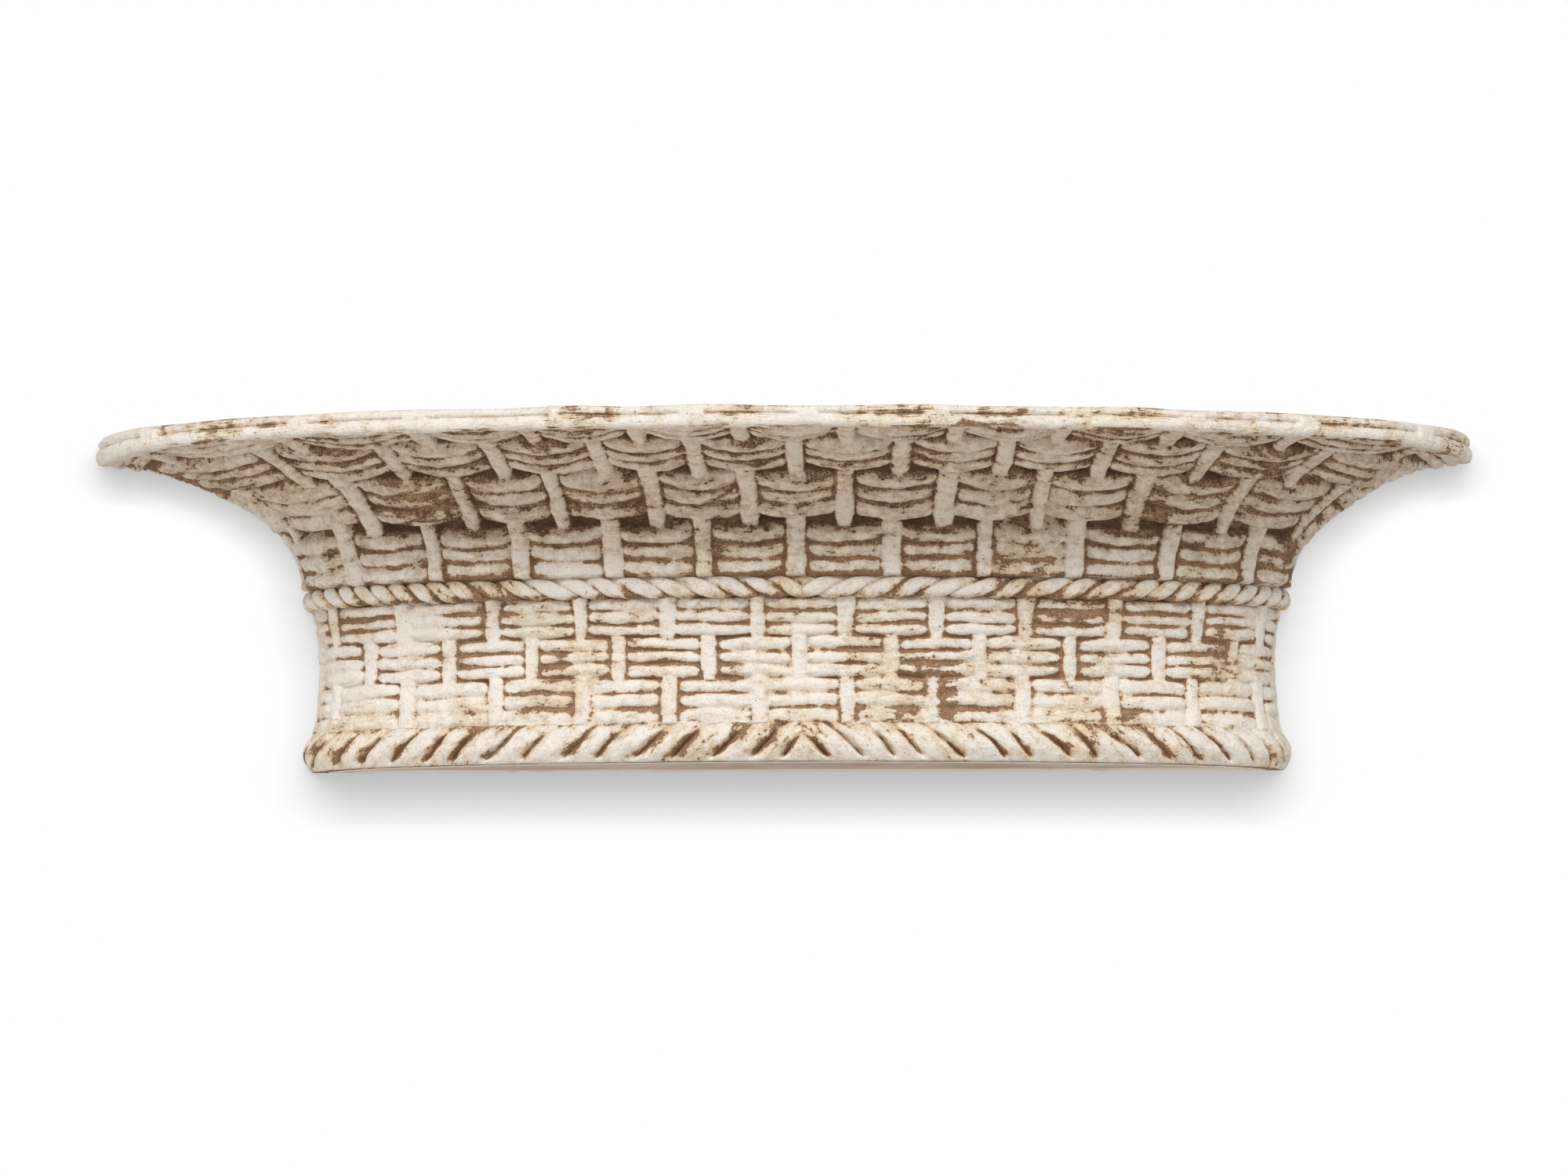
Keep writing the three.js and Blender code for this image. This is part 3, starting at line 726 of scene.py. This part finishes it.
def woven_flare():
    """The flare: the weave on a quarter ellipse, with grid lines at even lengths up it. It flattens
    along the upper edge, under the rim."""
    turn = even_turns(STATIONS)
    rough = np.linspace(0, np.pi / 2, 2001)
    wide, high = 60, FLARE_TOP - FLARE_FOOT
    run = running_sum(np.hypot(wide * np.sin(rough[1:]), high * np.cos(rough[1:])))
    angle = np.interp(np.linspace(0, run[-1], FLARE_LINES), run, rough)
    lean, out, z = flare_outside(turn[:, None], angle[None, :])
    plain = points(turn[:, None], lean, out, z)
    up, along = lengths(plain, 1), lengths(plain, 0)
    along = along - along[STATIONS // 2]
    length = up[:, -1:]

    def level(degrees):
        """How far up the surface an angle lies, at each station."""
        return np.array([np.interp(math.radians(degrees), angle, line) for line in up])[:, None]

    feet = [level(row["foot"]) for row in FLARE_ROWS]
    tops = [level(row["top"]) for row in FLARE_ROWS[:-1]] + [length + 4]
    cloth = woven(turn, along, up, FLARE_ROWS, feet, tops, FLARE_FORM)
    tame = 1 - 0.75 * ease(up, length - 4, length)
    cloth.height = cloth.height * tame - 0.6 * (1 - tame)

    x, front = plain[..., 0], np.sin(turn)[:, None]
    wear = worn_at(x, plain[..., 2]) + 0.58 - 0.5 * cloth.on_stake
    # Less wear at the tips by the wall paints them lighter: painted light for the light that reaches
    # them from the sides.
    wear = wear - 0.35 * (1 - ease(front, 0.15, 0.6))
    wear = wear + 0.2 * (ease(x, 50, 90) - ease(x, 140, 185))
    hollow = hollow_of(cloth, 1.6, wear)
    hollow = hollow * np.clip(0.9 + 0.95 * fractal(along, up, 14, 93, 2), 0.1, 1.35)
    # Painted shade under the rim's overhang: it rises from the flare's foot and is weaker at the
    # tips by the wall, which are painted lighter.
    painted_shade = ease(up, -6, 20) * (0.4 + 0.6 * ease(front, 0.1, 0.5))

    insets = FLARE_EDGE_INSET, RIM_WIDTH + 0.1
    under_rim = [(OVERHANG, -inset, RIM_FOOT - 0.2) for inset in insets]
    inside = [flare_inside(angle) for angle in np.linspace(np.pi / 2, 0, 16)]
    foot = [(0, -WELL_INSET, BELT_LEVEL), (0, -6, BELT_LEVEL), (0, -5, 61.2), (0, -3.6, 62.6)]
    behind = under_rim + inside + foot
    finish_behind = [1] * len(under_rim + inside) + [0] * len(foot)
    fields = dict(hollow=(hollow, 0.5), wear=(wear, 0), painted_shade=(painted_shade, 0))
    return cloth.piece("woven_flare", turn, plain, behind, finish_behind, **fields)


def woven_field():
    """The lower field: the weave on a wall that draws in by a parabola, with a fillet along its
    foot."""
    turn = even_turns(STATIONS)
    z = np.linspace(FIELD_FOOT - 0.5, FIELD_TOP + 0.8, FIELD_LINES)
    t = 2 * (z - FIELD_FOOT) / (FIELD_TOP - FIELD_FOOT) - 1
    out = -WAIST_INSET + (WAIST_INSET - FIELD_EDGE_INSET) * t**2
    plain = points(turn[:, None], 0, out[None, :], z[None, :])
    up, along = np.broadcast_to(z, (STATIONS, FIELD_LINES)), lengths(plain, 0)
    along = along - along[STATIONS // 2]
    feet = [np.full((STATIONS, 1), row["foot"]) for row in FIELD_ROWS]
    tops = [np.full((STATIONS, 1), row["top"]) for row in FIELD_ROWS]
    cloth = woven(turn, along, up, FIELD_ROWS, feet, tops, FIELD_FORM)
    fillet = 1 - ease(up, FIELD_FOOT - 0.4, FIELD_FOOT + 3)
    cloth.height = soft_max(cloth.height, -0.2 - 3 * (1 - fillet), 0.6)

    wear = worn_at(plain[..., 0], plain[..., 2]) + 0.17 - 0.25 * cloth.on_stake
    wear = wear + 0.3 * (1 - ease(up, 13, 22))
    hollow = hollow_of(cloth, 1.2, wear) * (1 - 0.5 * fillet)
    hollow = hollow * np.clip(0.78 + 1.3 * fractal(along, up, 15, 95, 2), 0.05, 1.4)
    # Painted shade along the top of the field, under the belt rope and the flare's overhang.
    painted_shade = 0.35 * ease(up, FIELD_TOP - 7, FIELD_TOP)

    behind = [(0, -5.2, 58), (0, -6, BELT_LEVEL), (0, -WELL_INSET, BELT_LEVEL), (0, -WELL_INSET, 36)]
    behind += [(0, -WELL_INSET - 0.2, 0), (0, 0.5 - BASE_ROPE_SEAT, 0), (0, -7.5, 11)]
    finish_behind = [0, 1, 1, 1, 1, 1, 0]
    fields = dict(hollow=(hollow, 0.6), wear=(wear, 0), painted_shade=(painted_shade, 0))
    return cloth.piece("woven_field", turn, plain, behind, finish_behind, **fields)


# The ropes

# The belt rope's lobes: their spacing at the middle of the front and by the wall, and their slant.
BELT_LOBES = dict(left=(10.4, 7.4, -45), right=(11.5, 8.4, 45))

# The base rope's lobes: spacing, how flat their backs are, how bare their grooves, and their slant.
BASE_LOBES = dict(left=(12.9, 2.6, 1.6, 42), right=(12.3, 3.6, 1.15, -42))


def rope_values(hollow, place, shift):
    """A rope's hollow value, raised a little, and its wear: broad noise that shift moves up."""
    wear = np.clip(0.5 * fractal(place[..., 0], place[..., 2] + shift, 18, 83, 2), -0.4, 1)
    return np.clip(hollow + 0.07, 0, 1), wear


def strand_shape(phase, flatness=2):
    """Across one strand: 1 on its back and 0 in the groove, as half an ellipse, or flatter on its
    back with a narrower groove where flatness is over 2."""
    across = np.clip(1.06 * np.abs(2 * (phase - np.floor(phase)) - 1), 0, 1)
    return np.sqrt(1 - across**flatness)


def along_strands(run, up, slant):
    """A place on a rope or the rim, measured along its strands and across them, in metres."""
    run, up = np.broadcast_arrays(run, up)
    c, s = math.cos(math.radians(slant)), math.sin(math.radians(slant))
    return np.stack([run * c + up * s, up * c - run * s], -1) * METRES


def half_belt(side):
    """Turns at equal lengths along the belt's left or right half, from left to right, and how far
    each lies to the right of the middle of the front."""
    turn = even_turns(ROPE_STATIONS, 0.5)
    turn = turn if side == "left" else np.pi - turn[::-1]
    return turn, np.interp(turn, TURNS, BELT_RUN) - BELT_RUN[-1] / 2


def lobe_count(run, middle, end, start, full, wander):
    """How many lobes lie between the middle of the front and each place along the run: the running
    sum of its steps over the spacing, which goes from its middle to its end value."""
    spacing = middle + (end - middle) * ease(np.abs(run), start, full)
    share = running_sum(np.diff(run) / ((spacing[1:] + spacing[:-1]) / 2))
    count = np.abs(share - np.interp(0, run, share))
    return (count + wander * noise(run / 13, 1, 67) / middle)[:, None]


def belt_rope(side):
    """A rope of two strands. Its radius falls from the strands' backs into a groove 1.7 mm deep as
    half ellipses, whose phase goes on with the run and with the angle round the rope."""
    middle, end, slant = BELT_LOBES[side]
    turn, run = half_belt(side)
    phase = lobe_count(run, middle, end, 105, 135, 1.2)
    run = run[:, None]
    around = np.linspace(0, 2 * np.pi, BELT_ROPE_SIDES, endpoint=False) + np.pi
    shape = strand_shape(phase - 2 * around / (2 * np.pi) + 0.15)
    radius = BELT_RADIUS + 0.2 - 1.7 * (1 - shape) + 0.15 * fractal(run, around * 3, 4, 63)
    radius = np.minimum(radius + 0.12 * noise(run / 7, 3, 65), BELT_RADIUS + 0.3)
    z = BELT_LEVEL + radius * np.sin(around) * 1.04
    rings = points(turn[:, None], 0, radius * np.cos(around) - BELT_RADIUS, z)
    rings[..., 1] = np.minimum(rings[..., 1], 0)
    # The rope's underside is painted darker: more brown ground shows there, and painted shade
    # darkens it.
    under = -np.sin(around) + 0 * shape
    hollow = (1 - shape) * (0.55 + 0.6 * noise(run / 8, around / 2, 87))
    hollow, wear = rope_values(hollow + 0.42 * ease(under, 0.45, 0.95), rings, 0)
    values = dict(hollow=hollow, wear=wear, painted_shade=0.3 * ease(under, 0.2, 1))
    uv = along_strands(run, around * BELT_RADIUS, slant)
    return make_piece(f"rope_round_belt_{side}", rings, [PAINTED, PLASTER], values, uv)


def base_rope(side):
    """A thick half-round rope, cut flat below: over its face t from foot to head, the outside is at
    -(3.2 + t) + 3.5 sin(pi t)^0.8. Its grooves fade out at the head and where two lengths meet."""
    spacing, flatness, bareness, slant = BASE_LOBES[side]
    turn, run = half_belt(side)
    phase = lobe_count(run, spacing, spacing - 0.8, 90, 170, 2.6)
    meeting = 1 - 0.8 * ease(-np.abs(run), -7, -1)[:, None]
    run = run[:, None]
    t = np.linspace(0, 1, BASE_ROPE_LINES)
    shape = strand_shape(phase - 14.5 / spacing * (1 - t) ** 0.9 + 0.5, flatness)
    groove = (2.9 + 0.9 * noise(run / 10, 7, 91)) * (1 - shape) * ease(t, 0.03, 0.22)
    groove = groove * (1 - 0.75 * ease(t, 0.5, 0.95)) * meeting
    out = -(3.2 + t) + 3.5 * np.sin(np.pi * t) ** 0.8 - groove + 0.3 * (shape - 0.6)
    out = out + 0.14 * fractal(run, t * 13, 4, 69) * ease(t, 0, 0.1)
    z = BASE_ROPE_HEIGHT * t + 0.5 * (shape - 0.7) * ease(t, 0.7, 1)
    face = points(turn[:, None], 0, np.minimum(out, -0.1), z)
    seat = 0.3 - BASE_ROPE_SEAT
    back = [(0, seat, BASE_ROPE_HEIGHT), (0, seat, 0), (0, -6.5, 0), (0, -4.2, 0)]

    hollow = (1 - shape) * ease(t, 0.05, 0.25) * (1 - 0.8 * ease(t, 0.5, 0.9))
    hollow = hollow * (bareness + 0.8 * noise(run / 7, 5 + t * 2, 73)) * meeting
    hollow, wear = rope_values(hollow + 0.05 + 0.22 * ease(t, 0.8, 1), face, 40)
    # The plain lines behind and under the rope carry painted shade.
    fields = dict(hollow=(hollow, 0.5), wear=(wear, 0.2), painted_shade=(0 * hollow, 0.6))
    uv = along_strands(run, np.concatenate([z[0], np.linspace(20, 35, len(back))]), slant)
    name = f"rope_round_foot_{side}"
    return faced_piece(name, turn, face, back, [PAINTED, PLASTER], uv, fields)


# The rim

# Where its bindings stand, as shares of its length from the left end.
BINDINGS = (0.095, 0.207, 0.28, 0.366, 0.441, 0.507, 0.582, 0.666, 0.735, 0.811, 0.905)

# The rim's top and inner edge: how deep each line lies, and how far under the top of the face.
RIM_BACK = ((-4, 0), (-6.5, -0.06), (-9, 0), (-11, 0.35), (-12.2, 1), (-12.9, 2.2), (-13, 3.6))
TOP_LIMIT = HEIGHT - 0.02


def bound_rim():
    """Two rods on top of each other round the edge: over the face t from foot to top, the lower one
    is half an ellipse over 0 to 0.6 and the upper one over the rest. A binding, some 9 mm along the
    run, rounds both into one, at a depth of 0.35 + 1.6 (2t - 1)^4. Flakes and noise roughen it."""
    run = np.linspace(0, RIM_RUN[-1], RIM_STATIONS)
    turn = np.interp(run, RIM_RUN, TURNS)
    bound = sum(ease(-np.abs(run - b * RIM_RUN[-1] + 0.4 * noise(b * 99, 0, 5)), -5.2, -3.6)
                for b in BINDINGS)
    bound = np.clip(bound, 0, 1)[:, None]
    ends = (1 - ease(np.minimum(run, RIM_RUN[-1] - run), 4, 80))[:, None]
    run = run[:, None]
    t = np.linspace(0, 1, RIM_LINES)
    foot = RIM_FOOT - 0.9 - 2.2 * ends + (TIP_ROUNDING + 0.4) * tip_share(turn)[:, None]
    foot = foot + 0.25 * noise(run / 17, 0, 51) + 0.12 * noise(run / 3.3, 0, 52)
    top = np.minimum(HEIGHT - 0.35 + 0.35 * noise(run / 24, 0, 53), TOP_LIMIT)
    split = 0.6 + 0.02 * noise(run / 20, 9, 55)
    lower = dome(2 * np.clip(t / split, 0, 1) - 1)
    upper = dome(2 * np.clip((t - split) / (1 - split), 0, 1) - 1)
    rods = np.where(t < split, -0.5 - 2 * (1 - lower), -1.3 - 1.6 * (1 - upper))
    rods = soft_max(rods, -2.3, 0.4)
    out = rods * (1 - bound) + (-0.35 - 1.6 * np.abs(2 * t - 1) ** 4) * bound
    flakes = ease(fractal(run, t * 9, 7, 97, 3), 0.25, 0.5)
    out = out + 0.2 * fractal(run, t * 7, 4, 57) - 0.2 - 0.25 * flakes
    out = np.minimum(out, -0.02)
    face = points(turn[:, None], OVERHANG, out, foot + (top - foot) * t)
    ledge = top - 0.1 + 0.12 * fractal(run, np.arange(len(RIM_BACK)) * 2, 6, 59)
    back = [(OVERHANG, depth, np.minimum(ledge[:, k] - drop, TOP_LIMIT))
            for k, (depth, drop) in enumerate(RIM_BACK)]
    back += [(OVERHANG, -RIM_WIDTH, RIM_FOOT - 0.1)]
    back += [(OVERHANG, depth, foot[:, 0]) for depth in (-7, -3.6)]

    deep = ease(-out, 1.5, 2.9) * (1 - 0.9 * bound)
    groove = np.exp(-(((t - split) / 0.12) ** 2)) * (1 - bound)
    filled = 0.9 + 0.6 * noise(run / 12, 2, 77)
    hollow = 0.05 + 0.15 * deep + 0.3 * groove * filled + 0.2 * flakes
    wear = 0.06 + fractal(run, t * 14, 22, 79, 3) + 0.3 * ease(t, split, 1)
    wear = np.clip(wear, -0.3, 1.2)
    fields = dict(hollow=(hollow, 0.1), wear=(wear, 0.25), painted_shade=(0 * hollow, 0))
    uv = along_strands(run, np.linspace(0, 40, RIM_LINES + len(back)), 0)
    return faced_piece("rods_round_rim", turn, face, back, [PAINTED, PLASTER], uv, fields)


# The liner

LINER_POINTS = 260


def liner_outline(inset, back, corner):
    """The wall's inside, moved in, as far as a straight back, with both corners rounded by a
    quarter of a circle and the points at equal steps."""
    x, y = plan(np.linspace(0, np.pi, 4001), 0, -inset)
    keep = y < -back - corner
    x, y = x[keep], y[keep]
    swing = np.linspace(0, np.pi / 2, 12)[1:]
    inwards, upwards = corner * (1 - np.cos(swing)), -back - corner + corner * np.sin(swing)
    left = np.stack([x[0] + inwards, upwards], -1)
    right = np.stack([x[-1] - inwards, upwards], -1)
    bow = np.concatenate([left[::-1], np.stack([x, y], -1), right])
    across = np.linspace(bow[-1], bow[0], 80)[1:-1]
    loop = np.concatenate([bow, across, bow[:1]])
    run = lengths(loop, 0)
    even = np.linspace(0, run[-1], LINER_POINTS, endpoint=False)
    return np.stack([np.interp(even, run, loop[:, 0]), np.interp(even, run, loop[:, 1])], -1)


def metal_liner():
    """A tub of thin sheet: outlines stacked up the outside, over a rolled hem and down the inside.
    Each has its level, and is drawn to its share of the way out from the middle."""
    well = WELL_INSET + 1.5
    outer = liner_outline(well, 15.5, 5)
    hem = liner_outline(well - 0.9, 14.6, 5.4)
    inner = liner_outline(well + 0.8, 16.3, 4.6)
    middle = outer.mean(0)
    up = [(outer, 10.32, drawn) for drawn in (0.02, 0.6, 0.985)]
    up += [(outer, 10.9, 0.998), (outer, 11.8, 1), (outer, 30, 1), (outer, 59.2, 1)]
    over = [(outer + (hem - outer) * (0.5 + 0.5 * math.cos(roll)), 60.8 + 1.18 * math.sin(roll), 1)
            for roll in np.linspace(-0.5, 0.5, 9) * np.pi]
    down = [(inner, 61.9, 1), (inner, 59.4, 1), (inner, 30, 1), (inner, 12.2, 1),
            (inner, 11.4, 0.996), (inner, 11.12, 0.982), (inner, 11.12, 0.6), (inner, 11.12, 0.02)]
    stack = [np.insert(middle + (outline - middle) * drawn, 2, z, 1)
             for outline, z, drawn in up + over + down]
    return make_piece("zinc_liner", np.stack(stack), [ZINC])


# Assembly

flare, field = woven_flare(), woven_field()
for piece in (flare, field):
    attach(piece, "pocket")
    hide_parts("woven_wall")
for side in ("left", "right"):
    for maker, node in ((belt_rope, "belt_rope"), (base_rope, "base_rope")):
        piece = maker(side)
        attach(piece, "pocket")
        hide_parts(f"{node}_{side}")
rim = bound_rim()
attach(rim, "pocket")
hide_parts("bound_rim")
tub = metal_liner()
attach(tub, "liner")
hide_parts("metal_liner")


def give_finish(node, finish):
    """Puts one finish on a CAD node, whose mesh stays as it is."""
    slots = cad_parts[node].data.materials
    slots.clear()
    slots.append(finish)


give_finish("back_slab", INSIDE)
give_finish("floor_slab", PLASTER)
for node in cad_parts:
    if node.startswith(("hanger_plate", "hanger_screw")):
        give_finish(node, STEEL)
    if node.startswith("hanger_block"):
        give_finish(node, WOOD)

# The stage

WHITE = (1, 1, 1)
WARM_WHITE = (1, 0.985, 0.97)

# The wall's painted shadow: its colour, its reach in metres, where it looks for open sky, and a
# gain that keeps the open wall white. Its reach falls by a share between the two heights beside
# the wings.
SHADOW = (0.25, 0.245, 0.24)
SHADOW_REACH = 0.0225
SKYWARD = (0, -0.57, 0.82)
SHADOW_GAIN = 1.06
BESIDE_WINGS = (-0.04, -0.005)
WING_SHORTFALL = 0.34

# How much light the wall and the floor throw back.
WALL_BOUNCE = (0.8, 0.8, 0.8)
FLOOR_BOUNCE = (0.66, 0.64, 0.615)


def flat_square(name, middle, half, axis):
    """A square of given half width, upright across Y or level across Z."""
    x, s = np.array([-1, 1, 1, -1]) * half, np.array([-1, -1, 1, 1]) * half
    corners = np.stack([x, 0 * s, s] if axis == "y" else [x, s, 0 * s], -1) + middle
    mesh = bpy.data.meshes.new(name)
    mesh.from_pydata(corners.tolist(), [], [(0, 1, 2, 3)])
    square = placed(name, mesh)
    return square


def clear_sky(f):
    """How open each place of the wall is upwards and outwards, from 0 to about 1."""
    level = f.node("ShaderNodeSeparateXYZ", None, f.place(), output="Z")
    reach = SHADOW_REACH - level.step(*BESIDE_WINGS) * (SHADOW_REACH * WING_SHORTFALL)
    skyward = f.node("ShaderNodeCombineXYZ", None, *SKYWARD)
    sky = dict(Distance=reach, Normal=skyward, output="AO")
    return f.node("ShaderNodeAmbientOcclusion", {"samples": 16}, **sky) * SHADOW_GAIN


def backdrop_finish(name, bounce, shadowed):
    """White to the camera, clear from behind, and a pale reflector to other light. If shadowed, a
    painted shadow darkens it where the object stands above or in front of it."""
    f = Finish(name)
    shown = f.node("ShaderNodeEmission", None, (*WHITE, 1), 1)
    if shadowed:
        dark = f.node("ShaderNodeEmission", None, (*SHADOW, 1), 1)
        shown = f.node("ShaderNodeMixShader", None, clear_sky(f), dark, shown)
    reflector = f.node("ShaderNodeBsdfDiffuse", None, (*bounce, 1))
    camera_sees = f.node("ShaderNodeLightPath", output="Is Camera Ray")
    front = f.node("ShaderNodeMixShader", None, camera_sees, reflector, shown)
    clear = f.node("ShaderNodeBsdfTransparent", None, (*WHITE, 1))
    behind = f.node("ShaderNodeNewGeometry", output="Backfacing")
    either = f.node("ShaderNodeMixShader", None, behind, front, clear)
    f.node("ShaderNodeOutputMaterial", None, either)
    return f.owner


wall = flat_square("room_wall", (0, 0.0012, 0), 4, "y")
wall.data.materials.append(backdrop_finish("white_wall", WALL_BOUNCE, True))
wall.visible_shadow = wall.visible_diffuse = wall.visible_glossy = False
floor = flat_square("floor", (0, 0, -0.75), 6, "z")
floor.data.materials.append(backdrop_finish("pale_floor", FLOOR_BOUNCE, False))
floor.visible_shadow = False


def soft_lamp(name, place, target, size, watts, colour):
    """A rectangular area lamp at a place in metres, turned to its target. Its width lies level."""
    lamp = bpy.data.lights.new(name, "AREA")
    lamp.shape, lamp.size, lamp.size_y = "RECTANGLE", *size
    lamp.energy, lamp.color = watts, colour
    aim = np.array(target) - np.array(place)
    point_along(placed(name, lamp), place, aim / np.linalg.norm(aim))


def point_along(holder, place, aim, roll=0):
    """Turns a lamp or camera so that it looks along aim, with its side level but for its roll."""
    level = np.cross(aim, (0, 0, 1))
    level /= np.linalg.norm(level)
    above = np.cross(level, aim)
    side = level * math.cos(roll) - above * math.sin(roll)
    up = level * math.sin(roll) + above * math.cos(roll)
    rows = [[side[k], up[k], -aim[k], place[k]] for k in range(3)] + [[0, 0, 0, 1]]
    holder.matrix_world = Matrix(rows)


# Each lamp's name, place, target, width and height, watts and colour.
LAMPS = (
    ("overhead_softbox", (-0.15, -1.88, 1.56), (0, -0.05, -0.03), (2, 0.75), 45, WHITE),
    ("front_fill", (0.2, -2.2, 0.05), (0, -0.05, -0.03), (4.2, 0.8), 13.5, WARM_WHITE),
    ("left_bounce", (-1.3, -0.15, -0.7), (-0.22, -0.03, 0.01), (0.7, 0.7), 5.9, WARM_WHITE),
    ("right_bounce", (1.3, -0.15, -0.7), (0.22, -0.03, 0.01), (0.7, 0.7), 3.5, WARM_WHITE),
)
for lamp in LAMPS:
    soft_lamp(*lamp)

WORLD_LIGHT = (1, 0.985, 0.965)
WORLD_STRENGTH = 0.25


def studio_world():
    """White wherever it is seen, straight, mirrored or through glass, and a dim light besides."""
    w = Finish("studio", bpy.data.worlds)
    straight, mirrored, through = (
        w.node("ShaderNodeLightPath", output=f"Is {kind} Ray")
        for kind in ("Camera", "Glossy", "Transmission")
    )
    seen = straight.greatest(mirrored).greatest(through)
    dim = w.node("ShaderNodeBackground", None, (*WORLD_LIGHT, 1), WORLD_STRENGTH)
    bright = w.node("ShaderNodeBackground", None, (*WHITE, 1), 1)
    w.node("ShaderNodeOutputWorld", None, w.node("ShaderNodeMixShader", None, seen, dim, bright))
    return w.owner


bpy.context.scene.world = studio_world()
bpy.context.scene.view_settings.view_transform = "Standard"

# The camera

# The photograph is taken from a little below and to the left, with a long lens. Both its sizes
# are in millimetres, angles in radians, and the rest in metres.
LENS = 179.964
SENSOR = 36
LOOKS_UP = 0.085
LOOKS_RIGHT = 0.0252
ROLL = 0.0045
CAMERA_DISTANCE = 2.7
TARGET = np.array([-0.00535, -0.03, -0.02645])

flat = math.cos(LOOKS_UP)
aim = np.array([math.sin(LOOKS_RIGHT) * flat, math.cos(LOOKS_RIGHT) * flat, math.sin(LOOKS_UP)])
lens = bpy.data.cameras.new("photo_view")
lens.lens, lens.sensor_width = LENS, SENSOR
lens.clip_start, lens.clip_end = 0.1, 20
camera = placed("photo_view", lens)
point_along(camera, TARGET - aim * CAMERA_DISTANCE, aim, ROLL)
bpy.context.scene.camera = camera
